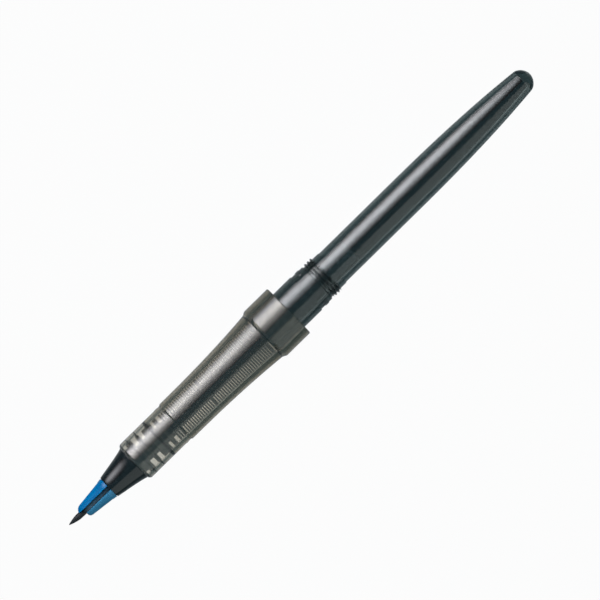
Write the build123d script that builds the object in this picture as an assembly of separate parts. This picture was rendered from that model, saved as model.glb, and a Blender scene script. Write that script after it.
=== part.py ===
from build123d import *
import math
import os

# Brush pen unit: a fibre nib held between two guide blades, a nose cone, a see-through grip with the
# nib holder and the ink collector inside it, and a see-through ink tank that carries the pilot and
# the thread for a barrel.
# Millimetres. The pen's axis is X, with the point towards -X and the tail towards +X. The slots
# between the guide blades face +Z and -Z. The origin is on the axis, in the rear face of the collar.

# ---- nib ----
nib_r = 0.65
nib_rear_back = 2.1         # from the grip's front edge to the nib's rear end
nib_reach = 3.1             # of the point ahead of the upper blade
point_length = 2.8
point_nose = 0.12           # how blunt the point is
point_belly = 1.7           # how far back the point's sides stay full
flex_back = 2.42            # from the point's end to the place where the nib bends
flex_seat_r = 0.9           # round seat between the bending and the held part
flex_gap = 0.03

# ---- guide: a ring and two blades that hug the nib ----
guide_bore_gap = 0.02
slot_width = 1.0            # it runs back through the ring, up to the cone
upper_blade_length = 6.8
lower_blade_length = 5.7
blade_root_r = 2.24
blade_shoulder_r = 1.66     # where the upper blade's rounded front begins
blade_shoulder_back = 1.7
blade_front_r = 0.72
blade_front_handle = (0.42, 0.77)       # back and out from the front edge
blade_rear_handle = (0.77, 0.05)        # ahead and in from the shoulder
lower_front_r = 1.15
lower_shoulder_back = 0.9
lower_handle = (0.27, 0.60)             # back and out from the front edge
blade_margin = 1.0                      # spare length of the tools that cut the blades
guide_ring_length = 1.1
guide_ring_front_r = 2.30
guide_ring_rear_r = 2.50
guide_tail_r = 1.80
guide_tail_length = 5.0

# ---- nose cone ----
cone_length = 6.9
cone_front_r = 2.53
cone_rear_r = 3.95
cone_front_handle = (0.6, 0.21)     # along and out from the front edge
cone_rear_handle = (2.6, 0.754)     # along and in from the rear edge
spigot_r = 3.05
spigot_length = 1.4
cone_flange_length = 1.3
cone_flange_gap = 0.03
cone_socket_depth = 2.2             # for the collector's nose

# ---- grip ----
grip_length = 43.4                  # from its front edge to the collar's rear face
grip_front_r = 4.00
grip_land_r = 4.57
grip_bevel_length = 0.6
grip_bevel_middle = (0.24, 0.335)   # a place on its round, back and out from the front edge
grip_land_length = 9.4
bead_r = 4.68
bead_length = 1.1
dip_length = 0.35
step_r = 4.78
step_length = 0.40
flare_rear_r = 5.71
flare_power = 2.4
flare_points = 9
chamfer_length = 0.8
chamfer_middle = (0.48, 0.20)       # a place on its hollow, back and out from the flare's end
collar_r = 6.16
collar_length = 6.5
collar_edge = 0.15
grip_front_bore_r = 3.84
grip_bore_r = 3.62
grip_rear_bore_r = 4.25
bore_step_length = 0.2              # of the shoulder behind the seal

# ---- collector ----
fit_gap = 0.02                      # between pieces pushed together
press = 0.02                        # how far the press ribs bite into the grip
core_r = 1.65
fin_gap = 0.17                      # from a fin's tip to the grip
fin_pitch = 0.536
fin_thickness = 0.30
fin_zone_start = 10.1               # behind the grip's front edge
fin_zone_end_gap = 0.55             # ahead of the tank
divider_fin = 18                    # the fin that is a thick divider
divider_thickness = 0.80
rear_disc_start = 8.5               # behind the grip's front edge
rear_disc_length = 0.8
collector_front_flange_length = 0.7
collector_spigot_r = 1.40
collector_spigot_length = 1.2
slit_width = 0.5                    # ink slit along the fins, on the -Z side, open to the wick
vent_width = 0.8                    # air passage along the fins, on the +Z side
vent_depth = 0.5                    # into the core
collector_flange_length = 0.5
collector_tail_r = 1.75
collector_tail_length = 3.0

# ---- nib holder: joins the nib to the wick, between the nose cone and the collector ----
holder_r = 2.00
disc_r = 3.50                       # of the discs ahead of the comb
front_disc_start = 3.9              # behind the grip's front edge
front_disc_length = 0.7
holder_flange_start = 5.6
holder_flange_length = 1.1
rib_length = 0.25

# ---- seal ring, pinched between the holder's and the collector's flanges ----
seal_width = 0.4
seal_inner_r = 2.80

# ---- wick ----
wick_r = 0.90
wick_reach = 15.0                   # behind the collar's rear face

# ---- ink tank ----
tank_front_reach = 6.9              # ahead of the collar's rear face
tank_gap = 0.03
tank_seat_r = 4.72                  # inside the collar, ahead of the pilot
pilot_r = 4.55
pilot_length = 4.9
land_r = 4.36
land_length = 3.0
lug_start = 6.0
lug_r = 4.50
lug_length = 1.0
lug_count = 2
lug_span = 70.0
thread_pitch = 0.75
thread_r = 4.45
thread_root_r = 4.07
thread_start = 8.35
thread_length = 2.3
thread_base = 0.60
thread_crest = 0.12
thread_phase_x = 8.8                # where the crest crosses +Y
thread_bite = 0.1                   # how far its root reaches into the neck
trim_margin = 0.02
neck_length = 4.3
neck_chamfer = 0.2
tank_r = 3.93
taper_start = 34.0
taper_end_r = 2.57
taper_end = 65.5
taper_front_handle = 14.0
taper_rear_handle = (7.5, 0.75)
dome_length = 2.1
dome_handles = (1.0, 0.10, 1.30)    # back and in from the taper, and out at the end
tank_wall = 1.13
mouth_r = 3.15

# ---- plug in the tank's mouth ----
plug_head_length = 4.0
plug_sleeve_reach = 17.3            # behind the collar's rear face
plug_sleeve_wall = 0.70
plug_slot_count = 4
plug_slot_width = 0.25
plug_slot_margin = 0.5
air_hole_r = 0.25
air_hole_count = 4

# ---- ink ----
ink_gap = 0.03

# ---- places along the axis ----
x_grip_front = -grip_length
x_cone_front = x_grip_front - cone_length
x_ring_front = x_cone_front - guide_ring_length
x_upper_front = x_ring_front - upper_blade_length
x_lower_front = x_ring_front - lower_blade_length
x_point = x_upper_front - nib_reach
x_nib_rear = x_grip_front + nib_rear_back
x_flex = x_point + flex_back
x_collar_front = -collar_length
x_bead_front = x_grip_front + grip_bevel_length + grip_land_length
x_flare_front = x_bead_front + bead_length + dip_length + step_length
x_flare_rear = x_collar_front - chamfer_length
x_tank_front = -tank_front_reach
x_flange_front = x_grip_front + spigot_length
x_flange_rear = x_flange_front + cone_flange_length
x_seal_front = x_grip_front + holder_flange_start + holder_flange_length
x_seal_rear = x_seal_front + seal_width
x_fins_front = x_grip_front + fin_zone_start
x_fins_rear = x_tank_front - fin_zone_end_gap - collector_flange_length
x_tail = taper_end + dome_length
cavity_r = tank_r - tank_wall


def turned(*edges):
    """The solid that a closed outline of edges sweeps out when it turns about the pen's axis."""
    return revolve(make_face(edges), Axis.X)


def ring(x_front, x_rear, outer_r, inner_r=0.0):
    """A plain turned ring or disc."""
    corners = [(x_front, inner_r), (x_rear, inner_r), (x_rear, outer_r), (x_front, outer_r)]
    return turned(Polyline(corners, close=True))


def slab(x_front, x_rear, width, height, z_low):
    """A box along the axis, centred on Y = 0, that rises from z_low."""
    middle = ((x_front + x_rear) / 2, 0, z_low + height / 2)
    return Pos(*middle) * Box(x_rear - x_front, width, height)


def flare_r(x, front_r, rear_r):
    """Radius on the grip's flare, which widens ever faster from its front to its rear."""
    share = (x - x_flare_front) / (x_flare_rear - x_flare_front)
    return front_r + (rear_r - front_r) * min(max(share, 0.0), 1.0) ** flare_power


def flare_curve(front_r, rear_r):
    """The flare's outline as a smooth curve."""
    step = (x_flare_rear - x_flare_front) / (flare_points - 1)
    places = [x_flare_front + step * index for index in range(flare_points)]
    return Spline([(x, flare_r(x, front_r, rear_r)) for x in places])


# ---- nib: one fibre rod in two pieces, because its free end bends ----
def nib_pieces():
    rim_angle = math.degrees(math.asin(nib_r / flex_seat_r))
    x_full = x_point + point_length
    x_tip_rim = x_flex + flex_seat_r * math.cos(math.radians(rim_angle))
    ogive = Bezier(
        (x_point, 0),
        (x_point, point_nose),
        (x_point + point_belly, nib_r),
        (x_full, nib_r),
    )
    tip = turned(
        ogive,
        Line((x_full, nib_r), (x_tip_rim, nib_r)),
        CenterArc((x_flex, 0), flex_seat_r, rim_angle, -rim_angle),
        Line((x_flex + flex_seat_r, 0), (x_point, 0)),
    )
    socket_r = flex_seat_r + flex_gap
    socket_angle = math.degrees(math.asin(nib_r / socket_r))
    x_stem_rim = x_flex + socket_r * math.cos(math.radians(socket_angle))
    stem = turned(
        CenterArc((x_flex, 0), socket_r, 0, socket_angle),
        Line((x_stem_rim, nib_r), (x_nib_rear, nib_r)),
        Line((x_nib_rear, nib_r), (x_nib_rear, 0)),
        Line((x_nib_rear, 0), (x_flex + socket_r, 0)),
    )
    return tip, stem


# ---- guide: ring, tail and the two blades as one moulding ----
def blade(x_front, front_outline, side):
    """Half of a turned nose, cut off at the slot; side is 1 for +Y and -1 for -Y."""
    whole = turned(
        *front_outline,
        Line((x_ring_front, blade_root_r), (x_ring_front, 0)),
        Line((x_ring_front, 0), (x_front, 0)),
    )
    reach = blade_root_r + blade_margin
    half = Box(upper_blade_length + blade_margin, reach, 2 * reach)
    middle = (x_ring_front - upper_blade_length / 2, side * (slot_width + reach) / 2, 0)
    return whole & Pos(*middle) * half


def blade_r(x):
    """Radius on the straight taper of the blades."""
    x_shoulder = x_upper_front + blade_shoulder_back
    share = (x - x_shoulder) / (x_ring_front - x_shoulder)
    return blade_shoulder_r + (blade_root_r - blade_shoulder_r) * share


def nib_guide():
    x_upper_shoulder = x_upper_front + blade_shoulder_back
    front_back, front_out = blade_front_handle
    rear_ahead, rear_in = blade_rear_handle
    lower_back, lower_out = lower_handle
    x_tail_rear = x_cone_front + guide_tail_length
    upper_outline = [
        Line((x_upper_front, 0), (x_upper_front, blade_front_r)),
        Bezier(
            (x_upper_front, blade_front_r),
            (x_upper_front + front_back, blade_front_r + front_out),
            (x_upper_shoulder - rear_ahead, blade_shoulder_r - rear_in),
            (x_upper_shoulder, blade_shoulder_r),
        ),
        Line((x_upper_shoulder, blade_shoulder_r), (x_ring_front, blade_root_r)),
    ]
    x_lower_shoulder = x_lower_front + lower_shoulder_back
    lower_shoulder_r = blade_r(x_lower_shoulder)
    lower_outline = [
        Line((x_lower_front, 0), (x_lower_front, lower_front_r)),
        Bezier(
            (x_lower_front, lower_front_r),
            (x_lower_front + lower_back, lower_front_r + lower_out),
            (x_lower_shoulder, lower_shoulder_r),
        ),
        Line((x_lower_shoulder, lower_shoulder_r), (x_ring_front, blade_root_r)),
    ]
    ring_profile = [
        (x_ring_front, 0),
        (x_ring_front, guide_ring_front_r),
        (x_cone_front, guide_ring_rear_r),
        (x_cone_front, guide_tail_r),
        (x_tail_rear, guide_tail_r),
        (x_tail_rear, 0),
    ]
    body = turned(Polyline(ring_profile, close=True))
    slot = Box(guide_ring_length, slot_width, 2 * guide_ring_rear_r + blade_margin)
    body -= Pos((x_ring_front + x_cone_front) / 2, 0, 0) * slot
    body += blade(x_upper_front, upper_outline, 1)
    body += blade(x_lower_front, lower_outline, -1)
    return body - ring(x_upper_front - blade_margin, x_tail_rear + blade_margin, nib_r + guide_bore_gap)


# ---- nose cone, with the spigot and flange that sit in the grip ----
def nose_cone():
    flange_r = grip_front_bore_r - cone_flange_gap
    x_rib = x_flange_front + cone_flange_length / 2
    front_along, front_out = cone_front_handle
    rear_along, rear_in = cone_rear_handle
    flare = Bezier(
        (x_cone_front, cone_front_r),
        (x_cone_front + front_along, cone_front_r + front_out),
        (x_grip_front - rear_along, cone_rear_r - rear_in),
        (x_grip_front, cone_rear_r),
    )
    rear_profile = [
        (x_grip_front, cone_rear_r),
        (x_grip_front, spigot_r),
        (x_flange_front, spigot_r),
        (x_flange_front, flange_r),
        (x_flange_rear, flange_r),
        (x_flange_rear, 0),
        (x_cone_front, 0),
        (x_cone_front, cone_front_r),
    ]
    body = turned(flare, Polyline(rear_profile))
    body += ring(x_rib - rib_length / 2, x_rib + rib_length / 2, grip_front_bore_r + press)
    body -= ring(x_cone_front, x_cone_front + guide_tail_length + fit_gap, guide_tail_r + fit_gap)
    body -= ring(x_cone_front, x_flange_rear, nib_r + guide_bore_gap)
    return body - ring(x_flange_rear - cone_socket_depth, x_flange_rear, holder_r + fit_gap)


# ---- grip with its collar ----
def grip_sleeve():
    x_land_front = x_grip_front + grip_bevel_length
    x_bead_rear = x_bead_front + bead_length
    seat_r = tank_seat_r + tank_gap
    bevel_back, bevel_out = grip_bevel_middle
    chamfer_back, chamfer_out = chamfer_middle
    outside = [
        Line((x_grip_front, grip_front_bore_r), (x_grip_front, grip_front_r)),
        ThreePointArc(
            (x_grip_front, grip_front_r),
            (x_grip_front + bevel_back, grip_front_r + bevel_out),
            (x_land_front, grip_land_r),
        ),
        Line((x_land_front, grip_land_r), (x_bead_front, grip_land_r)),
        ThreePointArc(
            (x_bead_front, grip_land_r),
            ((x_bead_front + x_bead_rear) / 2, bead_r),
            (x_bead_rear, grip_land_r),
        ),
        Line((x_bead_rear, grip_land_r), (x_bead_rear + dip_length, grip_land_r)),
        Line((x_bead_rear + dip_length, grip_land_r), (x_flare_front, step_r)),
        flare_curve(step_r, flare_rear_r),
        ThreePointArc(
            (x_flare_rear, flare_rear_r),
            (x_flare_rear + chamfer_back, flare_rear_r + chamfer_out),
            (x_collar_front, collar_r - collar_edge),
        ),
        Polyline([
            (x_collar_front, collar_r - collar_edge),
            (x_collar_front + collar_edge, collar_r),
            (-collar_edge, collar_r),
            (0, collar_r - collar_edge),
            (0, seat_r),
            (x_tank_front, seat_r),
            (x_tank_front, grip_rear_bore_r),
            (x_flare_rear, grip_rear_bore_r),
        ]),
    ]
    inside = [
        flare_curve(grip_bore_r, grip_rear_bore_r),
        Polyline([
            (x_flare_front, grip_bore_r),
            (x_seal_rear + bore_step_length, grip_bore_r),
            (x_seal_rear, grip_front_bore_r),
            (x_grip_front, grip_front_bore_r),
        ]),
    ]
    return turned(*outside, *inside)


# ---- nib holder ----
def nib_holder():
    x_front = x_flange_rear - cone_socket_depth + fit_gap
    x_disc = x_grip_front + front_disc_start
    x_rib = x_disc + front_disc_length / 2
    body = ring(x_front, x_seal_front, holder_r)
    body += ring(x_disc, x_disc + front_disc_length, disc_r)
    body += ring(x_rib - rib_length / 2, x_rib + rib_length / 2, grip_front_bore_r + press)
    body += ring(x_seal_front - holder_flange_length, x_seal_front, disc_r)
    body -= ring(x_front, x_nib_rear, nib_r + guide_bore_gap)
    body -= ring(x_nib_rear, x_seal_front, wick_r + fit_gap)
    x_socket = x_seal_front - collector_spigot_length
    return body - ring(x_socket, x_seal_front, collector_spigot_r + fit_gap)


def collector_seal():
    return ring(x_seal_front, x_seal_rear, grip_front_bore_r + press, seal_inner_r)


# ---- collector: a comb of thin fins on a core that carries the wick ----
def collector():
    bore_r = wick_r + fit_gap
    x_front = x_seal_front - collector_spigot_length + fit_gap
    x_disc = x_grip_front + rear_disc_start
    body = ring(x_front, x_seal_rear, collector_spigot_r)
    body += ring(x_seal_rear, x_fins_front, holder_r)
    body += ring(x_seal_rear, x_seal_rear + collector_front_flange_length, disc_r)
    body += ring(x_disc, x_disc + rear_disc_length, disc_r)
    body += ring(x_fins_front, x_fins_rear, core_r)
    x_fin = x_fins_front
    index = 0
    while x_fin < x_fins_rear:
        thickness = divider_thickness if index == divider_fin else fin_thickness
        x_fin_rear = min(x_fin + thickness, x_fins_rear)
        fin_r = flare_r(x_fin, grip_bore_r, grip_rear_bore_r) - fin_gap
        body += ring(x_fin, x_fin_rear, fin_r)
        x_fin += fin_pitch + thickness - fin_thickness
        index += 1
    x_flange_end = x_fins_rear + collector_flange_length
    x_rear = x_tank_front + collector_tail_length
    flange_r = flare_r(x_fins_rear, grip_bore_r, grip_rear_bore_r) - fit_gap
    body += ring(x_fins_rear, x_flange_end, flange_r)
    body += ring(x_flange_end, x_rear, collector_tail_r)
    body -= ring(x_front, x_rear, bore_r)
    body -= slab(x_fins_front, x_fins_rear, slit_width, grip_rear_bore_r, -grip_rear_bore_r)
    return body - slab(x_fins_front, x_fins_rear, vent_width, grip_rear_bore_r, core_r - vent_depth)


def relay_wick():
    return ring(x_nib_rear, wick_reach, wick_r)


# ---- ink tank ----
def taper_curve(inset, from_x, to_x):
    """The tank's long taper, moved in by inset."""
    rear_along, rear_out = taper_rear_handle
    return Bezier(
        (from_x, tank_r - inset),
        (from_x + taper_front_handle, tank_r - inset),
        (to_x - rear_along, taper_end_r + rear_out - inset),
        (to_x, taper_end_r - inset),
    )


def thread_solid():
    """The male thread, faded out at both ends."""
    inner_r = thread_root_r - thread_bite
    turns_length = thread_length + 2 * thread_pitch
    start_x = thread_start - thread_pitch
    across = Plane(origin=(start_x, 0, 0), x_dir=(0, 1, 0), z_dir=(1, 0, 0))
    helix = Helix(thread_pitch, turns_length, thread_root_r)
    half_base = thread_base / 2
    half_crest = thread_crest / 2
    corners = [
        (inner_r, -half_base),
        (thread_r, -half_crest),
        (thread_r, half_crest),
        (inner_r, half_base),
    ]
    tooth = make_face(Polyline([(r, 0, z) for r, z in corners], close=True))
    coil = sweep(tooth, path=helix, is_frenet=True)
    turn = 360.0 * (start_x - thread_phase_x) / thread_pitch
    x_end = thread_start + thread_length
    fade = thread_r - inner_r
    outer_r = thread_r + trim_margin
    hollow_r = inner_r - trim_margin
    envelope = Polyline([
        (thread_start - fade, hollow_r - fade),
        (thread_start - fade, hollow_r),
        (thread_start, outer_r),
        (x_end - fade, outer_r),
        (x_end, hollow_r),
        (x_end, hollow_r - fade),
    ], close=True)
    return (Rot(turn, 0, 0) * (across.location * coil)) & turned(envelope)


def wedge(x_front, x_rear, middle_angle, span):
    """A block that takes in one span of angle about the axis, counted from +Y towards +Z."""
    reach = collar_r / math.cos(math.radians(span / 2))
    half = math.radians(span / 2)
    corners = [
        (0, 0),
        (reach * math.cos(half), -reach * math.sin(half)),
        (reach * math.cos(half), reach * math.sin(half)),
    ]
    across = Plane(origin=(x_front, 0, 0), x_dir=(0, 1, 0), z_dir=(1, 0, 0))
    face = across.location * make_face(Polyline(corners, close=True))
    return Rot(middle_angle, 0, 0) * extrude(face, amount=x_rear - x_front, dir=(1, 0, 0))


def ink_tank():
    x_land_rear = pilot_length + land_length
    x_neck_rear = x_land_rear + neck_length
    dome_back, dome_in, dome_end_r = dome_handles
    outside = [
        Polyline([
            (x_tank_front, mouth_r),
            (x_tank_front, tank_seat_r),
            (0, tank_seat_r),
            (0, pilot_r),
            (pilot_length, pilot_r),
            (pilot_length, land_r),
            (x_land_rear, land_r),
            (x_land_rear + neck_chamfer, thread_root_r),
            (x_neck_rear, thread_root_r),
            (x_neck_rear, tank_r),
            (taper_start, tank_r),
        ]),
        taper_curve(0, taper_start, taper_end),
        Bezier(
            (taper_end, taper_end_r),
            (taper_end + dome_back, taper_end_r - dome_in),
            (x_tail, dome_end_r),
            (x_tail, 0),
        ),
        Line((x_tail, 0), (taper_end, 0)),
    ]
    inside = [
        Line((taper_end, 0), (taper_end, taper_end_r - tank_wall)),
        taper_curve(tank_wall, taper_start, taper_end),
        Polyline([
            (taper_start, cavity_r),
            (pilot_length, cavity_r),
            (pilot_length, mouth_r),
            (x_tank_front, mouth_r),
        ]),
    ]
    body = turned(*outside, *inside)
    lug_ring = ring(lug_start, lug_start + lug_length, lug_r, land_r - thread_bite)
    for index in range(lug_count):
        middle = 360.0 / lug_count * index
        body += lug_ring & wedge(lug_start, lug_start + lug_length, middle, lug_span)
    return body + thread_solid()


# ---- plug: closes the tank round the wick, and stills the ink with a slotted sleeve ----
def tank_plug():
    head_r = mouth_r - fit_gap
    sleeve_r = cavity_r - fit_gap
    sleeve_inner_r = sleeve_r - plug_sleeve_wall
    neck_bore_r = head_r - plug_sleeve_wall
    x_head_rear = x_tank_front + plug_head_length
    body = ring(x_tank_front, pilot_length, head_r)
    body += ring(pilot_length, plug_sleeve_reach, sleeve_r)
    body -= ring(x_head_rear, plug_sleeve_reach, sleeve_inner_r)
    body -= ring(x_head_rear, pilot_length - plug_sleeve_wall, neck_bore_r)
    body -= ring(x_tank_front, x_head_rear, wick_r + fit_gap)
    body -= ring(x_tank_front, x_tank_front + collector_tail_length, collector_tail_r + fit_gap)
    x_hole_middle = x_tank_front + plug_head_length / 2
    hole = Rot(0, 90, 0) * Cylinder(air_hole_r, plug_head_length)
    hole_offset = (collector_tail_r + fit_gap + neck_bore_r) / 2
    for index in range(air_hole_count):
        body -= Rot(360.0 / air_hole_count * index, 0, 0) * Pos(x_hole_middle, 0, hole_offset) * hole
    slot_front = pilot_length + plug_slot_margin
    slot_rear = plug_sleeve_reach - plug_slot_margin
    slot = slab(slot_front, slot_rear, plug_slot_width, cavity_r, wick_r + fit_gap)
    for index in range(plug_slot_count):
        body -= Rot(360.0 / plug_slot_count * (index + 0.5), 0, 0) * slot
    return body


# ---- ink: fills the tank behind the plug's head ----
def ink_charge():
    x_front = x_tank_front + plug_head_length + ink_gap
    sleeve_inner_r = cavity_r - fit_gap - plug_sleeve_wall
    core_gap_r = wick_r + ink_gap
    fill_r = cavity_r - ink_gap
    x_sleeve_end = plug_sleeve_reach + ink_gap
    inset = tank_wall + ink_gap
    x_rear = taper_end - ink_gap
    return turned(
        Polyline([
            (wick_reach + ink_gap, 0),
            (wick_reach + ink_gap, core_gap_r),
            (x_front, core_gap_r),
            (x_front, sleeve_inner_r - ink_gap),
            (x_sleeve_end, sleeve_inner_r - ink_gap),
            (x_sleeve_end, fill_r),
            (taper_start, fill_r),
        ]),
        taper_curve(inset, taper_start, x_rear),
        Polyline([
            (x_rear, taper_end_r - inset),
            (x_rear, 0),
            (wick_reach + ink_gap, 0),
        ]),
    )


nib_tip, nib_stem = nib_pieces()
pieces = {
    "nib_tip": nib_tip,
    "nib_stem": nib_stem,
    "nib_guide": nib_guide(),
    "nose_cone": nose_cone(),
    "grip_sleeve": grip_sleeve(),
    "nib_holder": nib_holder(),
    "collector_seal": collector_seal(),
    "collector": collector(),
    "relay_wick": relay_wick(),
    "ink_tank": ink_tank(),
    "tank_plug": tank_plug(),
    "ink_charge": ink_charge(),
}

os.makedirs("parts", exist_ok=True)
for name, piece in pieces.items():
    export_step(piece, f"parts/{name}.step")
    print(name, round(piece.volume, 2), "mm3")
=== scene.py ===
# %% [markdown]
# # A see-through brush pen unit
# The unit is a short train of turned mouldings on one axis: a fibre nib between two blue guide
# blades, a black nose cone, a smoke-clear grip with a finned ink collector inside it, and a long
# dark ink tank with a barrel thread. The construction comes first, as fixed parts at their real
# size. The cells below load them and give each one the shape and finish that the eye expects.

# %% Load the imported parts
import math

import bmesh
import bpy
from mathutils import Matrix, Vector


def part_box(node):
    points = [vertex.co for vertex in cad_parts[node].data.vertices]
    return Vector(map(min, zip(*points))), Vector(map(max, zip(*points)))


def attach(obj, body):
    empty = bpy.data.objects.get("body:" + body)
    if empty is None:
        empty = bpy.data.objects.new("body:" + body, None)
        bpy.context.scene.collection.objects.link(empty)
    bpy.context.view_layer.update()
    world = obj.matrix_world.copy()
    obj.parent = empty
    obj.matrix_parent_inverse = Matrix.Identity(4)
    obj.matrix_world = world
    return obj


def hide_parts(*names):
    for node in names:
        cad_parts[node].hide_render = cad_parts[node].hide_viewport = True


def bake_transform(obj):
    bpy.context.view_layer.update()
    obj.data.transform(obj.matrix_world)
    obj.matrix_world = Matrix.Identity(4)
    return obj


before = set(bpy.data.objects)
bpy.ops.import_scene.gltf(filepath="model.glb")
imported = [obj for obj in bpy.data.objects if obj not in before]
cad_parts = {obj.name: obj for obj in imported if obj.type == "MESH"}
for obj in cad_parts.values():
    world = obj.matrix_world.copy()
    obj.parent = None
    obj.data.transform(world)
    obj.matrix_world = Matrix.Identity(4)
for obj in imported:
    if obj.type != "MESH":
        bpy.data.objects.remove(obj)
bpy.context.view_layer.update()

print("nodes:", ", ".join(sorted(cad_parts)))

# %% [markdown]
# ## Units and helpers
# Blender works in metres and a pen is drawn in millimetres, so the outlines below are written in
# millimetres and scaled once, when a mesh is made. The places along the axis are read from the
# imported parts, so that a piece lands exactly where its construction says.

# %% Sizes that several pieces share
mm = 0.001
piece_gap = 0.02            # between pieces that fit together, so that their skins stay apart


def along(node):
    """Front place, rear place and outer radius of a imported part, in millimetres."""
    low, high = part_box(node)
    return low.x / mm, high.x / mm, high.z / mm


x_point = along("nib_tip")[0]
x_nib_rear, nib_r = along("nib_stem")[1:]
x_upper_blade, x_guide_rear, ring_rear_r = along("nib_guide")
x_cone_front, x_flange_rear, rib_r = along("nose_cone")
x_grip_front, x_grip_rear, collar_r = along("grip_sleeve")
x_holder_front, x_seal_front, _ = along("nib_holder")
x_collector_front, x_collector_rear, _ = along("collector")
x_seal_rear = along("collector_seal")[1]
wick_r = along("relay_wick")[2]
x_tank_front, x_tail, tank_seat_r = along("ink_tank")
print(f"{x_point:.1f} to {x_tail:.1f} mm along the axis, {2 * collar_r:.1f} mm across the collar")

# %% A rounded outline
corner_steps = 4
keen_edge = 0.02            # roundings of a moulding's edges, from the smallest up
crisp_edge = 0.03
fine_edge = 0.04
plain_edge = 0.05
soft_edge = 0.06
step_edge = 0.08
full_edge = 0.1
bold_edge = 0.15


def rounded(corners):
    """A closed outline through corners (x, radius, rounding), rounded off over that distance."""
    points = []
    for index, (x, r, rounding) in enumerate(corners):
        here = Vector((x, r))
        if not rounding:
            points.append(here)
            continue
        before = Vector(corners[index - 1][:2])
        after = Vector(corners[(index + 1) % len(corners)][:2])
        start = here + (before - here).normalized() * rounding
        end = here + (after - here).normalized() * rounding
        for step in range(corner_steps + 1):
            t = step / corner_steps
            points.append(start.lerp(here, t).lerp(here.lerp(end, t), t))
    return points


def curve(start, start_handle, end, end_handle, steps):
    """Points (x, radius) on a cubic curve, without the last; a handle is how far its end leads."""
    leading = (start[0] + start_handle[0], start[1] + start_handle[1])
    arriving = (end[0] - end_handle[0], end[1] - end_handle[1])
    p = [Vector(point) for point in (start, leading, arriving, end)]
    points = []
    for step in range(steps):
        t = step / steps
        a, b, c = p[0].lerp(p[1], t), p[1].lerp(p[2], t), p[2].lerp(p[3], t)
        points.append(a.lerp(b, t).lerp(b.lerp(c, t), t))
    return points


def sharp(points):
    """The same points as corners with no rounding."""
    return [(point[0], point[1], 0) for point in points]


# %% A lathe
turn_steps = 160
smooth_angle = math.radians(32)


def put_in_scene(name, data):
    """An object at the origin that shows a mesh or a camera."""
    thing = bpy.data.objects.new(name, data)
    bpy.context.scene.collection.objects.link(thing)
    return thing


def mesh_from(bm, name):
    """A new mesh with what was drawn."""
    mesh = bpy.data.meshes.new(name)
    bm.to_mesh(mesh)
    bm.free()
    return mesh


def smooth_mesh(bm, name):
    """The same, with its faces turned outwards and shaded smooth up to the sharp angle."""
    bmesh.ops.recalc_face_normals(bm, faces=bm.faces)
    mesh = mesh_from(bm, name)
    mesh.shade_smooth()
    mesh.set_sharp_from_angle(angle=smooth_angle)
    return mesh


def all_round(steps):
    """Even angles round the axis."""
    return [2 * math.pi * step / steps for step in range(steps)]


def turned(name, outline, angles, shape=None):
    """A closed mesh about the X axis from a closed outline in mm, with points at the angles given.

    shape(x, r, angle) may change a point's radius; the angle runs from +Y towards +Z.
    """
    bm = bmesh.new()
    rings = []
    for x, r in outline:
        ring = []
        for angle in angles[:1] if r == 0 else angles:
            radius = shape(x, r, angle) if shape else r
            spot = Vector((x, radius * math.cos(angle), radius * math.sin(angle)))
            ring.append(bm.verts.new(spot * mm))
        rings.append(ring)
    for here, there in zip(rings, rings[1:] + rings[:1]):
        if len(here) == 1 and len(there) == 1:
            continue
        for step in range(len(angles)):
            after = (step + 1) % len(angles)
            if len(here) == 1:
                bm.faces.new((here[0], there[step], there[after]))
            elif len(there) == 1:
                bm.faces.new((here[step], there[0], here[after]))
            else:
                bm.faces.new((here[step], there[step], there[after], here[after]))
    return smooth_mesh(bm, name)


def lathe(name, outline, steps=turn_steps, shape=None):
    """A turned piece with even steps round the axis."""
    return put_in_scene(name, turned(name, outline, all_round(steps), shape))


# %% [markdown]
# ## Materials
# Almost everything here is injection-moulded plastic, and what tells the pieces apart is how much
# light goes through them. A clear plastic gets its tint from the depth of material that the light
# crosses, so the tint is a volume inside the wall and not a colour on its skin: thick places then
# turn darker by themselves, as they do on the real piece.

# %% Colour and node helpers


def linear(hex_colour):
    """An sRGB hex value as a linear colour."""
    channels = [int(hex_colour[i:i + 2], 16) / 255 for i in (0, 2, 4)]
    return [c / 12.92 if c <= 0.04045 else ((c + 0.055) / 1.055) ** 2.4 for c in channels]


def rgba(hex_colour):
    return (*linear(hex_colour), 1.0)


def add(tree, kind, inputs=(), **settings):
    """Adds one node. Its inputs, by name or in order, are values or the nodes that feed them."""
    node = tree.nodes.new(kind)
    for name, value in settings.items():
        setattr(node, name, value)
    for key, value in inputs.items() if isinstance(inputs, dict) else enumerate(inputs):
        if isinstance(value, bpy.types.Node):
            value = value.outputs[0]
        if isinstance(value, bpy.types.NodeSocket):
            tree.links.new(value, node.inputs[key])
        else:
            node.inputs[key].default_value = value
    return node


def new_material(name):
    material = bpy.data.materials.new(name)
    material.use_nodes = True
    material.node_tree.nodes.clear()
    return material, material.node_tree


def streaked_noise(tree, grain_mm, stretch=1.0, detail=3.0):
    """Noise whose grains are grain_mm across and stretch times as long along the pen."""
    where = add(tree, "ShaderNodeTexCoord").outputs["Object"]
    squeeze = add(tree, "ShaderNodeMapping", {"Vector": where, "Scale": (1 / stretch, 1, 1)})
    return add(tree, "ShaderNodeTexNoise", {
        "Vector": squeeze, "Scale": 1 / (grain_mm * mm), "Detail": detail}).outputs["Fac"]


noise_low, noise_high = 0.3, 0.7        # a noise seldom leaves this middle part of its range


def spread(tree, noise, low, high):
    """The middle of a noise, spread out from low to high."""
    return add(tree, "ShaderNodeMapRange", {
        "Value": noise, "From Min": noise_low, "From Max": noise_high,
        "To Min": low, "To Max": high})


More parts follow.
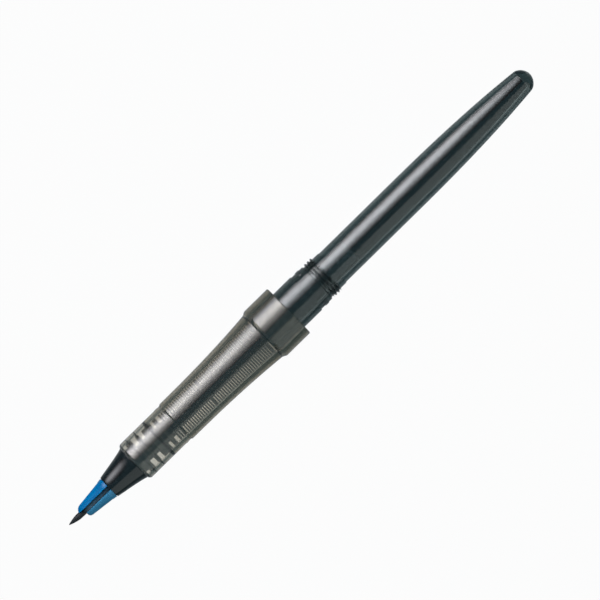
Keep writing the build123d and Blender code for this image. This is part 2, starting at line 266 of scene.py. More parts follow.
def wandering(tree, noise, dark, light):
    """A colour that wanders between two hex values as the noise does."""
    return add(tree, "ShaderNodeMix", {
        "Factor": spread(tree, noise, 0.0, 1.0), "A": rgba(dark), "B": rgba(light)},
        data_type="RGBA").outputs["Result"]

# %% Clear plastics


def clear_plastic(name, tint, polish, shadow_tint, grain_mm, haze, depth_mm=1.0, ior=1.57):
    """Moulded clear plastic: tint is the colour that white turns through depth_mm of it.

    haze is the small share of light that its skin scatters, as dust and fine scratches do.
    """
    material, tree = new_material(name)
    noise = streaked_noise(tree, grain_mm, stretch=6.0)
    surface = add(tree, "ShaderNodeBsdfPrincipled", {
        "Base Color": (1, 1, 1, 1),
        "Roughness": spread(tree, noise, *polish),
        "IOR": ior,
        "Transmission Weight": 1 - haze,
    })
    lamps_pass = add(tree, "ShaderNodeBsdfTransparent", {"Color": rgba(shadow_tint)})
    shadow_ray = add(tree, "ShaderNodeLightPath").outputs["Is Shadow Ray"]
    skin = add(tree, "ShaderNodeMixShader", (shadow_ray, surface, lamps_pass))
    lost = [-math.log(channel) / (depth_mm * mm) for channel in linear(tint)]
    density = max(lost)
    volume = add(tree, "ShaderNodeVolumeAbsorption", {
        "Color": (*(1 - channel / density for channel in lost), 1), "Density": density})
    add(tree, "ShaderNodeOutputMaterial", {"Surface": skin, "Volume": volume})
    return material


# Smoke-clear styrene, moulded in a polished tool: warm grey, and clear enough to read the fins.
smoke_grip = clear_plastic(
    "smoke_clear_moulded_styrene", tint="D0CDC5", polish=(0.015, 0.04), shadow_tint="DEDAD2",
    grain_mm=1.5, haze=0.012)

# The same family of plastic with far more dye: nearly black over the ink, grey at its edges.
smoke_tank = clear_plastic(
    "dark_smoke_moulded_styrene", tint="B1B8B8", polish=(0.02, 0.04), shadow_tint="9AA0A2",
    grain_mm=2.0, haze=0.005)

# %% Opaque plastics, rubber, fibre and ink


def solid_finish(name, dark, light, grain_mm, rough, stretch=1.0, bump_mm=0.0, ior=1.5,
                 specular=0.5, sheen=0.0, change=None):
    """An opaque finish: a colour that wanders from dark to light, and a skin of the same grain.

    change is where it turns to another dark and light: an axis, two places in mm, the colours.
    """
    material, tree = new_material(name)
    noise = streaked_noise(tree, grain_mm, stretch)
    colour = wandering(tree, noise, dark, light)
    if change:
        axis, start, end, others = change
        where = add(tree, "ShaderNodeTexCoord").outputs["Object"]
        share = add(tree, "ShaderNodeMapRange", {
            "Value": add(tree, "ShaderNodeSeparateXYZ", (where,)).outputs[axis],
            "From Min": start * mm, "From Max": end * mm})
        colour = add(tree, "ShaderNodeMix", {
            "Factor": share, "A": colour, "B": wandering(tree, noise, *others)},
            data_type="RGBA").outputs["Result"]
    skin = {
        "Base Color": colour,
        "Roughness": spread(tree, noise, *rough),
        "IOR": ior,
        "Specular IOR Level": specular,
        "Sheen Weight": sheen,
    }
    if bump_mm:
        skin["Normal"] = add(tree, "ShaderNodeBump", {"Height": noise, "Distance": bump_mm * mm})
    surface = add(tree, "ShaderNodeBsdfPrincipled", skin)
    add(tree, "ShaderNodeOutputMaterial", {"Surface": surface})
    return material


# Black ABS from a polished tool: deep black with crisp highlights.
black_abs = solid_finish(
    "black_polished_abs", dark="0E1011", light="16191B", grain_mm=0.8, rough=(0.10, 0.16),
    bump_mm=0.002)
# ABS that ink has wetted and stained: dull dark grey, so the gaps between the fins read lighter.
stained_comb = solid_finish(
    "ink_stained_moulded_abs", dark="1E211F", light="353833", grain_mm=0.5, rough=(0.5, 0.65),
    bump_mm=0.004, ior=1.54, specular=0.25)
# Nitrile rubber: flat black, without a highlight.
black_rubber = solid_finish(
    "black_moulded_nitrile", dark="0B0B0B", light="151515", grain_mm=0.2, rough=(0.5, 0.65),
    bump_mm=0.004)
# Drawn polyester fibres full of ink: black with fine streaks along the pen, which are coarser than
# the real fibres of about 0.02 mm, so that they show.
wick_fibre = solid_finish(
    "ink_soaked_polyester_wick", dark="08080C", light="1B1B24", grain_mm=0.05, rough=(0.5, 0.7),
    stretch=20.0, bump_mm=0.01)
# Polypropylene: grey and a little waxy, seen only through the tank.
plug_plastic = solid_finish(
    "grey_moulded_polypropylene", dark="4A5052", light="5A6264", grain_mm=0.7, rough=(0.2, 0.3),
    bump_mm=0.002)
# Ink in bulk: black, with the smooth skin of a liquid.
liquid_ink = solid_finish(
    "black_liquid_ink", dark="020305", light="05070A", grain_mm=4.0, rough=(0.02, 0.04), ior=1.34)

# %% Finishes that change along or across the pen
painted_light_start = x_upper_blade + 0.9       # where the nib's painted light begins,
painted_light_full = x_upper_blade + 2.4        # and where it is full
painted_reflection_half = 0.4                        # the painted reflection on the lower side starts in the slot between the blades

# Polyester fibres bonded into a rod and soaked: ink-black where it writes, and dull, with fine
# streaks. Between the blades it is painted paler: painted light on the part that sits in the deep,
# shaded slot there. The real fibres are about 0.02 mm thick; they are drawn coarser, so that they
# show.
nib_fibre = solid_finish(
    "ink_soaked_bonded_fibre", dark="131517", light="23272A", grain_mm=0.09, rough=(0.5, 0.65),
    stretch=14.0, bump_mm=0.012, specular=0.2, sheen=0.05,
    change=("X", painted_light_start, painted_light_full, ("6C767C", "9AA6AC")))


def blue_plastic(name, rough, specular):
    """Moulded blue; its lower side (-Y) is greyed by a painted reflection of the side card."""
    return solid_finish(
        name, dark="005485", light="006496", grain_mm=0.6, rough=rough, stretch=4.0, ior=1.48,
        # the second pair of colours is the painted grey reflection on the lower side
        specular=specular, change=("Y", painted_reflection_half, -painted_reflection_half, ("33749A", "4084A8")))


# Polyacetal has a soft, waxy skin, so the blades show no highlight. The ring stands proud of them
# and is rubbed by fingers and cap, so it shines.
blade_blue = blue_plastic("blue_moulded_polyacetal", rough=(0.3, 0.4), specular=0.03)
ring_blue = blue_plastic("blue_rubbed_polyacetal", rough=(0.12, 0.2), specular=0.22)
print("finishes:", ", ".join(material.name for material in bpy.data.materials))

# %% [markdown]
# ## The nib
# The nib is a rod of bonded fibre, ground to a point and soaked with ink. It could be a cone on a
# cylinder, but a ground point is an ogive: it swells fast and then runs straight into the rod.
# Fine lengthwise flutes stand for the fibres. Its free end bends when it writes, and it is made
# as one mesh.

# %% Nib
point_length = 2.8
point_nose = 0.12
point_belly = 1.7
flute_count = 26
flute_depth = 0.006
tip_lean = 0.22             # the used point stands a little to one side
lean_length = 6.0
rod_steps = 40


def nib_shape(x, r, angle):
    """Shallow flutes, fading out towards the point."""
    return r - flute_depth * (0.5 + 0.5 * math.cos(flute_count * angle)) * r / nib_r


x_rod = x_point + point_length
ogive = curve((x_point, 0), (0, point_nose), (x_rod, nib_r), (point_length - point_belly, 0),
              steps=28)
rod = [(x_rod + (x_nib_rear - x_rod) * step / rod_steps, nib_r) for step in range(rod_steps + 1)]
nib = lathe("fibre_nib", ogive + rod + [(x_nib_rear, 0)], steps=4 * flute_count, shape=nib_shape)
for vertex in nib.data.vertices:
    share = max(0.0, 1 - (vertex.co.x / mm - x_point) / lean_length)
    vertex.co.y += tip_lean * mm * share ** 2
print(f"nib: {2 * nib_r:.2f} mm across, with {flute_count} flutes")

# %% [markdown]
# ## The guide
# Two blue blades grip the nib from both sides and leave a slot between them, the upper one a
# little longer. They are one moulding with the ring behind them. A turned nose, cut along the
# slot and bored for the nib, gives the same shape as the mould does, with its edges eased.

# %% Guide blades and ring
slot_width = 1.0
guide_bore_r = nib_r + piece_gap
guide_ring_length = 1.1
ring_front_r = 2.30
blade_root_r = 2.24
blade_shoulder_r = 1.66
blade_shoulder_back = 1.7
blade_front_r = 0.72
upper_front_handle = (0.42, 0.77)   # along and across, from the front edge
upper_rear_handle = (0.77, 0.05)    # and on to the shoulder
lower_blade_back = 1.1      # how far the lower blade's front stands behind the upper one's
lower_shoulder_back = 0.9
lower_front_r = 1.15
lower_front_handle = (0.18, 0.40)
lower_rear_handle = (0.30, 0.03)
guide_tail_r = 1.80
seam_length = 0.12          # the shallow groove where the ring meets the cone
seam_depth = 0.2
edge_ease = 0.05
ease_angle = math.radians(40)
margin = 1                  # spare length of the cutting tools
x_ring_front = x_cone_front - guide_ring_length
x_shoulder = x_upper_blade + blade_shoulder_back
x_lower_blade = x_upper_blade + lower_blade_back
x_lower_shoulder = x_lower_blade + lower_shoulder_back


def blade_r(x):
    """Radius on the straight taper behind the shoulder."""
    share = (x - x_shoulder) / (x_ring_front - x_shoulder)
    return blade_shoulder_r + (blade_root_r - blade_shoulder_r) * share


def cut(piece, tool, how):
    """Applies one boolean cut and removes the tool."""
    modifier = piece.modifiers.new(how, "BOOLEAN")
    modifier.operation = how
    modifier.solver = "EXACT"
    modifier.object = tool
    bake(piece)
    bpy.data.objects.remove(tool)


def bake(piece):
    """Turns a piece with its modifiers into a plain mesh."""
    graph = bpy.context.evaluated_depsgraph_get()
    mesh = bpy.data.meshes.new_from_object(piece.evaluated_get(graph))
    piece.modifiers.clear()
    piece.data = mesh


def block(name, low, high):
    """A plain block between two corners in mm, as a cutting tool."""
    bm = bmesh.new()
    bmesh.ops.create_cube(bm, size=1.0)
    for vertex in bm.verts:
        vertex.co = [(a + (b - a) * (c + 0.5)) * mm for a, b, c in zip(low, high, vertex.co)]
    return put_in_scene(name, smooth_mesh(bm, name))


def ease_edges(piece):
    """Bevels the cut edges and shades the piece smooth up to the sharp angle."""
    ease = piece.modifiers.new("eased edges", "BEVEL")
    ease.width = edge_ease * mm
    ease.segments = 2
    ease.limit_method = "ANGLE"
    ease.angle_limit = ease_angle
    bake(piece)
    piece.data.shade_smooth()
    piece.data.set_sharp_from_angle(angle=smooth_angle)


def blade(name, nose, side):
    """One blade: a turned nose that starts with the points given, on one side of the slot."""
    x_root = x_ring_front + edge_ease
    root = [(x_ring_front, blade_root_r), (x_root, blade_root_r), (x_root, 0)]
    piece = lathe(name, [(nose[0][0], 0)] + nose + root, steps=96)
    reach = 2 * blade_root_r
    inner, outer = sorted((side * slot_width / 2, side * (slot_width / 2 + reach)))
    x_low, x_high = x_upper_blade - margin, x_ring_front + margin
    cut(piece, block("beside_slot", (x_low, inner, -reach), (x_high, outer, reach)), "INTERSECT")
    bore = lathe("nib_bore", rounded([
        (x_low, 0, 0), (x_low, guide_bore_r, 0), (x_high, guide_bore_r, 0), (x_high, 0, 0)]),
        steps=48)
    cut(piece, bore, "DIFFERENCE")
    ease_edges(piece)
    return piece


upper_nose = curve((x_upper_blade, blade_front_r), upper_front_handle,
                   (x_shoulder, blade_shoulder_r), upper_rear_handle, steps=14)
lower_nose = curve((x_lower_blade, lower_front_r), lower_front_handle,
                   (x_lower_shoulder, blade_r(x_lower_shoulder)), lower_rear_handle, steps=10)
upper_blade = blade("upper_blade", upper_nose, 1)
lower_blade = blade("lower_blade", lower_nose, -1)
guide_ring = lathe("guide_ring", rounded([
    (x_ring_front, guide_bore_r, 0),
    (x_ring_front, ring_front_r, soft_edge),
    (x_cone_front - seam_length, ring_rear_r, fine_edge),
    (x_cone_front - seam_length, ring_rear_r - seam_depth, 0),
    (x_cone_front, ring_rear_r - seam_depth, 0),
    (x_cone_front, guide_tail_r, 0),
    (x_guide_rear, guide_tail_r, full_edge),
    (x_guide_rear, guide_bore_r, 0)]))
ring_slot = block("ring_slot", (x_ring_front - margin, -slot_width / 2, -2 * ring_rear_r),
                  (x_cone_front, slot_width / 2, 2 * ring_rear_r))
cut(guide_ring, ring_slot, "DIFFERENCE")
ease_edges(guide_ring)
blade_lengths = [x_cone_front - x for x in (x_upper_blade, x_lower_blade)]
print(f"blades: {blade_lengths[0]:.1f} and {blade_lengths[1]:.1f} mm long with the ring")

# %% [markdown]
# ## The nose cone
# A polished black moulding. Its outline starts steep at the guide, runs nearly straight and flares
# again into the grip, where a narrower spigot leaves a clear gap all round inside the see-through
# front edge.

# %% Nose cone
cone_front_r = 2.53
cone_rear_r = 3.95
cone_front_handle = (0.6, 0.21)
cone_rear_handle = (2.6, 0.754)
spigot_r = 3.05
spigot_length = 1.4
cone_flange_r = 3.81
holder_bore_r = 2.02
holder_bore_depth = 2.2     # of the seat for the nib holder's nose
rib_width = 0.25
x_flange_front = x_grip_front + spigot_length
x_cone_rib = (x_flange_front + x_flange_rear) / 2
x_holder_bore = x_flange_rear - holder_bore_depth


def rib(x, foot_r):
    """The corners of the thin rib that presses a disc into the grip."""
    front, rear = x - rib_width / 2, x + rib_width / 2
    return sharp([(front, foot_r), (front, rib_r), (rear, rib_r), (rear, foot_r)])


cone_flare = curve((x_cone_front, cone_front_r), cone_front_handle,
                   (x_grip_front, cone_rear_r), cone_rear_handle, steps=40)
cone = lathe("nose_cone_shell", rounded([
    (x_cone_front, guide_tail_r + piece_gap, 0),
    *sharp(cone_flare),
    (x_grip_front, cone_rear_r, plain_edge),
    (x_grip_front, spigot_r, plain_edge),
    (x_flange_front, spigot_r, plain_edge),
    (x_flange_front, cone_flange_r, plain_edge),
    *rib(x_cone_rib, cone_flange_r),
    (x_flange_rear, cone_flange_r, plain_edge),
    (x_flange_rear, holder_bore_r, 0),
    (x_holder_bore, holder_bore_r, 0),
    (x_holder_bore, guide_bore_r, 0),
    (x_guide_rear + piece_gap, guide_bore_r, 0),
    (x_guide_rear + piece_gap, guide_tail_r + piece_gap, 0)]))
print(f"cone: {x_grip_front - x_cone_front:.1f} mm long, up to {2 * cone_rear_r:.1f} mm across")

# %% [markdown]
# ## The grip
# A smoke-clear tube with a heavy wall. What makes it look right is its optics: the bore has to be
# a real surface with air behind it, because that is what mirrors the light at the two edges and
# shows the fins at their true size in between. So it is turned as one closed wall, outside and
# bore together, with the bead, the step and the flare that the fingers feel.

# %% Grip
grip_front_r = 4.00
grip_land_r = 4.57
bevel_length = 0.6
bevel_middle = (0.24, 0.335)        # back and out from the front edge
land_length = 9.4
bead_r = 4.63
bead_length = 1.1
dip_length = 0.45
step_r = 4.78
step_length = 0.30
flare_rear_r = 5.71
flare_power = 2.4
collar_length = 6.5
collar_edge = 0.15
chamfer_length = 0.8
front_bore_r = 3.84
bore_r = 3.62
bore_step_length = 0.2
rear_bore_r = 4.25
tank_gap = 0.03
flare_steps = 48
bead_steps = 12
x_land_front = x_grip_front + bevel_length
x_bead_front = x_land_front + land_length
x_bead_rear = x_bead_front + bead_length
x_step_front = x_bead_rear + dip_length
x_flare_front = x_step_front + step_length
x_collar_front = x_grip_rear - collar_length
x_flare_rear = x_collar_front - chamfer_length


def flare_r(x, front_r, rear_r):
    """Radius on the flare, which widens ever faster from front to rear."""
    share = (x - x_flare_front) / (x_flare_rear - x_flare_front)
    return front_r + (rear_r - front_r) * min(max(share, 0.0), 1.0) ** flare_power


def flare_points(front_r, rear_r):
    length = x_flare_rear - x_flare_front
    places = [x_flare_front + length * step / flare_steps for step in range(flare_steps + 1)]
    return [(x, flare_r(x, front_r, rear_r)) for x in places]


def bead_points():
    """A low round bead; its section is one hump of a cosine."""
    points = []
    for step in range(bead_steps + 1):
        rise = (1 - math.cos(2 * math.pi * step / bead_steps)) / 2
        x = x_bead_front + bead_length * step / bead_steps
        points.append((x, grip_land_r + (bead_r - grip_land_r) * rise))
    return points


seat_bore_r = tank_seat_r + tank_gap
grip = lathe("smoke_grip", rounded([
    (x_grip_front, front_bore_r, fine_edge),
    (x_grip_front, grip_front_r, soft_edge),
    (x_grip_front + bevel_middle[0], grip_front_r + bevel_middle[1], bold_edge),
    (x_land_front, grip_land_r, bold_edge),
    *sharp(bead_points()),
    (x_step_front, grip_land_r, step_edge),
    (x_flare_front, step_r, step_edge),
    *sharp(flare_points(step_r, flare_rear_r)[1:-1]),
    (x_flare_rear, flare_rear_r, full_edge),
    (x_collar_front, collar_r, full_edge),
    (x_grip_rear - collar_edge, collar_r, plain_edge),
    (x_grip_rear, collar_r - collar_edge, plain_edge),
    (x_grip_rear, seat_bore_r, full_edge),
    (x_tank_front, seat_bore_r, fine_edge),
    (x_tank_front, rear_bore_r, fine_edge),
    *sharp(reversed(flare_points(bore_r, rear_bore_r))),
    (x_seal_rear + bore_step_length, bore_r, plain_edge),
    (x_seal_rear, front_bore_r, plain_edge)]))
print(f"grip: {x_grip_rear - x_grip_front:.1f} mm long, wall {grip_land_r - bore_r:.2f} mm")

# %% [markdown]
# ## Nib holder and collector
# Inside the grip a holder joins the nib to the wick, and behind it a comb of thin fins takes up
# spare ink when the pen warms up. The fins are all alike apart from their size, which follows the
# bore, so they are made by Geometry Nodes: one fin is drawn, and the tree sets copies of it along
# the axis and scales each to its place.

# %% Nib holder
holder_r = 2.00
disc_r = 3.50
front_disc_start = 3.9
front_disc_length = 0.7
holder_flange_length = 1.1
spigot_bore_r = 1.42
spigot_bore_length = 1.2
wick_bore_r = wick_r + piece_gap
x_disc = x_grip_front + front_disc_start
x_disc_rear = x_disc + front_disc_length
x_holder_rib = (x_disc + x_disc_rear) / 2
x_holder_flange = x_seal_front - holder_flange_length
holder = lathe("holder_spool", rounded([
    (x_holder_front, guide_bore_r, 0),
    (x_holder_front, holder_r, plain_edge),
    (x_disc, holder_r, 0),
    (x_disc, disc_r, fine_edge),
    *rib(x_holder_rib, disc_r),
    (x_disc_rear, disc_r, fine_edge),
    (x_disc_rear, holder_r, 0),
    (x_holder_flange, holder_r, 0),
    (x_holder_flange, disc_r, fine_edge),
    (x_seal_front, disc_r, fine_edge),
    (x_seal_front, spigot_bore_r, 0),
    (x_seal_front - spigot_bore_length, spigot_bore_r, 0),
    (x_seal_front - spigot_bore_length, wick_bore_r, 0),
    (x_nib_rear, wick_bore_r, 0),
    (x_nib_rear, guide_bore_r, 0)]))
print(f"holder: {x_seal_front - x_holder_front:.1f} mm long")

# %% Collector core
core_r = 1.65
collector_spigot_r = 1.40
front_flange_length = 0.7
rear_disc_start = 8.5
rear_disc_length = 0.8
fin_zone_start = 10.1
fin_zone_end_gap = 0.55
rear_flange_length = 0.5
collector_tail_r = 1.75
vent_width = 0.8
vent_floor = 1.15           # of the air passage, above the axis
slit_width = 0.5
slit_floor = wick_bore_r + 2 * piece_gap
x_fins_front = x_grip_front + fin_zone_start
x_fins_rear = x_tank_front - fin_zone_end_gap - rear_flange_length
x_rear_disc = x_grip_front + rear_disc_start
rear_flange_r = flare_r(x_fins_rear, bore_r, rear_bore_r) - piece_gap


def groove_r(r, angle, width, floor_r, up):
    """Radius where a straight groove of this width runs along the top (up = 1) or underside."""
    side = r * math.cos(angle)
    height = up * math.sin(angle)
    if height > 0 and abs(side) < width / 2 and r * height > floor_r:
        return floor_r / height
    return r


def core_shape(x, r, angle):
    """The air passage on top and the ink slit below, along the comb only."""
    if not x_fins_front < x < x_fins_rear or r < core_r:
        return r
    r = groove_r(r, angle, vent_width, vent_floor, 1)
    return groove_r(r, angle, slit_width, slit_floor, -1)


core = lathe("collector_core", rounded([
    (x_collector_front, wick_bore_r, 0),
    (x_collector_front, collector_spigot_r, 0),
    (x_seal_rear, collector_spigot_r, 0),
    (x_seal_rear, disc_r, fine_edge),
    (x_seal_rear + front_flange_length, disc_r, fine_edge),
    (x_seal_rear + front_flange_length, holder_r, 0),
    (x_rear_disc, holder_r, 0),
    (x_rear_disc, disc_r, fine_edge),
    (x_rear_disc + rear_disc_length, disc_r, fine_edge),
    (x_rear_disc + rear_disc_length, holder_r, 0),
    (x_fins_front, holder_r, 0),
    (x_fins_front, core_r, 0),
    (x_fins_front + piece_gap, core_r, 0),
    (x_fins_rear - piece_gap, core_r, 0),
    (x_fins_rear, core_r, 0),
    (x_fins_rear, rear_flange_r, fine_edge),
    (x_fins_rear + rear_flange_length, rear_flange_r, fine_edge),
    (x_fins_rear + rear_flange_length, collector_tail_r, 0),
    (x_collector_rear, collector_tail_r, plain_edge),
    (x_collector_rear, wick_bore_r, 0)]), shape=core_shape)
print(f"collector: {x_collector_rear - x_collector_front:.1f} mm long")

# %% One fin
fin_thickness = 0.34
fin_draft = 0.03            # a fin is thinner at its tip than at its root
fin_gap = 0.17
fin_tip_r = bore_r - fin_gap
fin_root_r = 1.35           # inside the core, so that the copies join it at every size
fin_steps = 72
notch_edge = 0.001          # half the angle over which a notch's side drops


def notched(x, r, angle):
    """The air passage and the ink slit, cut into a fin down to the core."""
    open_r = groove_r(fin_tip_r, angle, vent_width, vent_floor, 1)
    return min(r, groove_r(open_r, angle, slit_width, wick_bore_r, -1))


def one_fin():
    """A thin notched washer about the X axis; its front face is at X = 0."""
    section = [
        (0, fin_root_r), (fin_draft / 2, fin_tip_r - fin_draft), (fin_draft, fin_tip_r),
        (fin_thickness - fin_draft, fin_tip_r),
        (fin_thickness - fin_draft / 2, fin_tip_r - fin_draft), (fin_thickness, fin_root_r)]
    angles = all_round(fin_steps)
    for width, up in ((vent_width, 1), (slit_width, -1)):
        edge = math.acos(width / 2 / fin_tip_r)
        for angle in (up * edge, up * (math.pi - edge)):
            angles += [(angle + side) % (2 * math.pi) for side in (-notch_edge, notch_edge)]
    return turned("one_fin", section, sorted(angles), notched)


# %% The comb as a node tree
fin_pitch = 0.536
divider_fin = 18
divider_thickness = 0.80
divider_growth = divider_thickness - fin_thickness
fin_count = int((x_fins_rear - x_fins_front - divider_growth) / fin_pitch) + 1


def geometry_tree(name, sizes):
    """An empty node tree with a geometry in and out, and a named input for each of the sizes."""
    tree = bpy.data.node_groups.new(name, "GeometryNodeTree")
    face = tree.interface
    face.new_socket("Geometry", in_out="INPUT", socket_type="NodeSocketGeometry")
    for label, value in sizes.items():
        face.new_socket(label, in_out="INPUT", socket_type=socket_types[type(value)])
    face.new_socket("Geometry", in_out="OUTPUT", socket_type="NodeSocketGeometry")
    return tree


def close_tree(tree, geometry, material):
    """Ends a tree in Realize Instances and Set Material."""
    real = add(tree, "GeometryNodeRealizeInstances", {"Geometry": geometry})
    dressed = add(tree, "GeometryNodeSetMaterial", {"Geometry": real, "Material": material})
    add(tree, "NodeGroupOutput", {"Geometry": dressed})


def apply_tree(piece, tree, sizes):
    """Runs a tree on a piece with the sizes at its named inputs, and keeps the plain mesh."""
    modifier = piece.modifiers.new(tree.name, "NODES")
    modifier.node_group = tree
    for socket in tree.interface.items_tree:
        if socket.in_out == "INPUT" and socket.name in sizes:
            modifier[socket.identifier] = sizes[socket.name]
    bake(piece)


socket_types = {
    int: "NodeSocketInt",
    float: "NodeSocketFloat",
    bpy.types.Material: "NodeSocketMaterial",
}
comb_sizes = {
    "Fins": fin_count,
    "Pitch": fin_pitch * mm,
    "First Place": x_fins_front * mm,
    "Divider": divider_fin,
    "Divider Growth": divider_growth * mm,
    "Fin Thickness": fin_thickness * mm,
    "Flare Front": x_flare_front * mm,
    "Flare Length": (x_flare_rear - x_flare_front) * mm,
    "Flare Power": flare_power,
    "Tip Radius": fin_tip_r * mm,
    "Tip Growth": (rear_bore_r - bore_r) * mm,
    "Material": stained_comb,
}


def comb_tree():
    """A fin at every pitch, scaled to the bore; one is the thick divider, and moves the rest on."""
    tree = geometry_tree("comb_of_fins", comb_sizes)
    given = add(tree, "NodeGroupInput").outputs
    index = add(tree, "GeometryNodeInputIndex")
    past, here = (
        add(tree, "FunctionNodeCompare", {"A": index, "B": given["Divider"]},
            data_type="INT", operation=how)
        for how in ("GREATER_THAN", "EQUAL"))
    extra = add(tree, "ShaderNodeMath", (given["Divider Growth"], past), operation="MULTIPLY")
    steps = add(tree, "ShaderNodeMath", (index, given["Pitch"], given["First Place"]),
                operation="MULTIPLY_ADD")
    x = add(tree, "ShaderNodeMath", (steps, extra))
    spot = add(tree, "ShaderNodeCombineXYZ", {"X": x})
    points = add(tree, "GeometryNodePoints", {"Count": given["Fins"], "Position": spot})
    from_front = add(tree, "ShaderNodeMath", (x, given["Flare Front"]), operation="SUBTRACT")
    share = add(tree, "ShaderNodeMath", (from_front, given["Flare Length"]),
                operation="DIVIDE", use_clamp=True)
    widened = add(tree, "ShaderNodeMath", (share, given["Flare Power"]), operation="POWER")
    tip = add(tree, "ShaderNodeMath", (widened, given["Tip Growth"], given["Tip Radius"]),
              operation="MULTIPLY_ADD")
    across = add(tree, "ShaderNodeMath", (tip, given["Tip Radius"]), operation="DIVIDE")
    thicker = add(tree, "ShaderNodeMath", (given["Divider Growth"], given["Fin Thickness"]),
                  operation="DIVIDE")
    thick = add(tree, "ShaderNodeMath", (thicker, here, 1.0), operation="MULTIPLY_ADD")
    size = add(tree, "ShaderNodeCombineXYZ", {"X": thick, "Y": across, "Z": across})
    fins = add(tree, "GeometryNodeInstanceOnPoints", {
        "Points": points, "Instance": given["Geometry"], "Scale": size})
    close_tree(tree, fins, given["Material"])
    return tree


comb = put_in_scene("collector_comb", one_fin())
apply_tree(comb, comb_tree(), comb_sizes)
print(f"{fin_count} fins, the last one at {max(v.co.x for v in comb.data.vertices) / mm:.2f} mm")

# %% [markdown]
# ## The ink tank
# A long tapered tube of the same plastic, dyed much darker, closed by a thick dome. Outside it has
# the pilot and the thread that a barrel fits. A thread could be a coil laid on the neck, but in a
# see-through wall the overlap would show as a dark seam. So the neck is turned plain with many
# close rings, and a node tree lifts its skin along the helix: the thread is then part of the wall.

# %% Tank, turned plain
pilot_r = 4.55
pilot_length = 4.9
land_r = 4.36
tank_land_length = 3.0
lug_start = 6.0
lug_end = 7.0
lug_r = 4.50
lug_half_span = math.radians(35)
thread_root_r = 4.07
thread_start = 8.37
thread_length = 2.25
thread_pitch = 0.75
thread_r = 4.45
thread_base = 0.69
thread_crest = 0.26
thread_run_out = 0.15       # over which the thread fades at both ends
thread_phase_x = 8.72       # where a crest crosses the +Y side
thread_sharp_angle = math.radians(50)
neck_length = 4.3
tank_r = 3.93
tank_wall = 1.13
mouth_r = 3.15
taper_start = 34.0
taper_end = 65.5
taper_end_r = 2.57
taper_start_handle = (14.0, 0)
taper_end_handle = (7.5, -0.75)
dome_start_handle = (1.0, -0.10)
dome_end_handle = (0, -1.30)
neck_margin = 0.2           # left without rings at both ends of the neck
ring_step = 0.03            # between rings along the thread
lug_ease = 0.03             # over which a lug rises, to each side of its end
x_land_rear = pilot_length + tank_land_length
x_neck_rear = x_land_rear + neck_length
cavity_r = tank_r - tank_wall


def taper(inset):
    """The tank's long taper, moved in by inset, from its start to its end."""
    start, end = (taper_start, tank_r - inset), (taper_end, taper_end_r - inset)
    return curve(start, taper_start_handle, end, taper_end_handle, steps=40)


def lug_shape(x, r, angle):
    """Two low lugs, at the +Y side and opposite, on the land behind the pilot."""
    off_axis = abs(math.remainder(angle, math.pi))
    if lug_start < x < lug_end and r > cavity_r + tank_wall / 2 and off_axis < lug_half_span:
        return lug_r
    return r


neck_rings = int((x_neck_rear - x_land_rear - 2 * neck_margin) / ring_step)
neck = [(x_land_rear + neck_margin + ring_step * step, thread_root_r) for step in range(neck_rings)]
dome = curve((taper_end, taper_end_r), dome_start_handle, (x_tail, 0), dome_end_handle, steps=24)
tank = lathe("smoke_tank", rounded([
    (x_tank_front, mouth_r, plain_edge),
    (x_tank_front, tank_seat_r, step_edge),
    (0, tank_seat_r, crisp_edge),
    (0, pilot_r, keen_edge),
    (pilot_length, pilot_r, soft_edge),
    (pilot_length, land_r, crisp_edge),
    (lug_start - lug_ease, land_r, 0),
    (lug_start + lug_ease, land_r, 0),
    (lug_end - lug_ease, land_r, 0),
    (lug_end + lug_ease, land_r, 0),
    (x_land_rear, land_r, fine_edge),
    *sharp(neck),
    (x_neck_rear, thread_root_r, fine_edge),
    (x_neck_rear, tank_r, fine_edge),
    *sharp(taper(0)),
    *sharp(dome),
    (x_tail, 0, 0),
    (taper_end, 0, 0),
    (taper_end, taper_end_r - tank_wall, bold_edge),
    *sharp(reversed(taper(tank_wall))),
    (pilot_length, cavity_r, plain_edge),
    (pilot_length, mouth_r, plain_edge)]), steps=192, shape=lug_shape)
print(f"tank: {x_tail - x_tank_front:.1f} mm long, {neck_rings} rings along the neck")

# %% The thread as a node tree
skin_share = 0.98           # of the root radius; what lies further out is the neck's outer skin
thread_sizes = {
    "Start": thread_start * mm,
    "Length": thread_length * mm,
    "Pitch": thread_pitch * mm,
    "Height": (thread_r - thread_root_r) * mm,
    "Base": thread_base * mm,
    "Crest": thread_crest * mm,
    "Crest Place": thread_phase_x * mm,
    "Run Out": thread_run_out * mm,
    "Root Radius": thread_root_r * mm,
    "Material": smoke_tank,
}


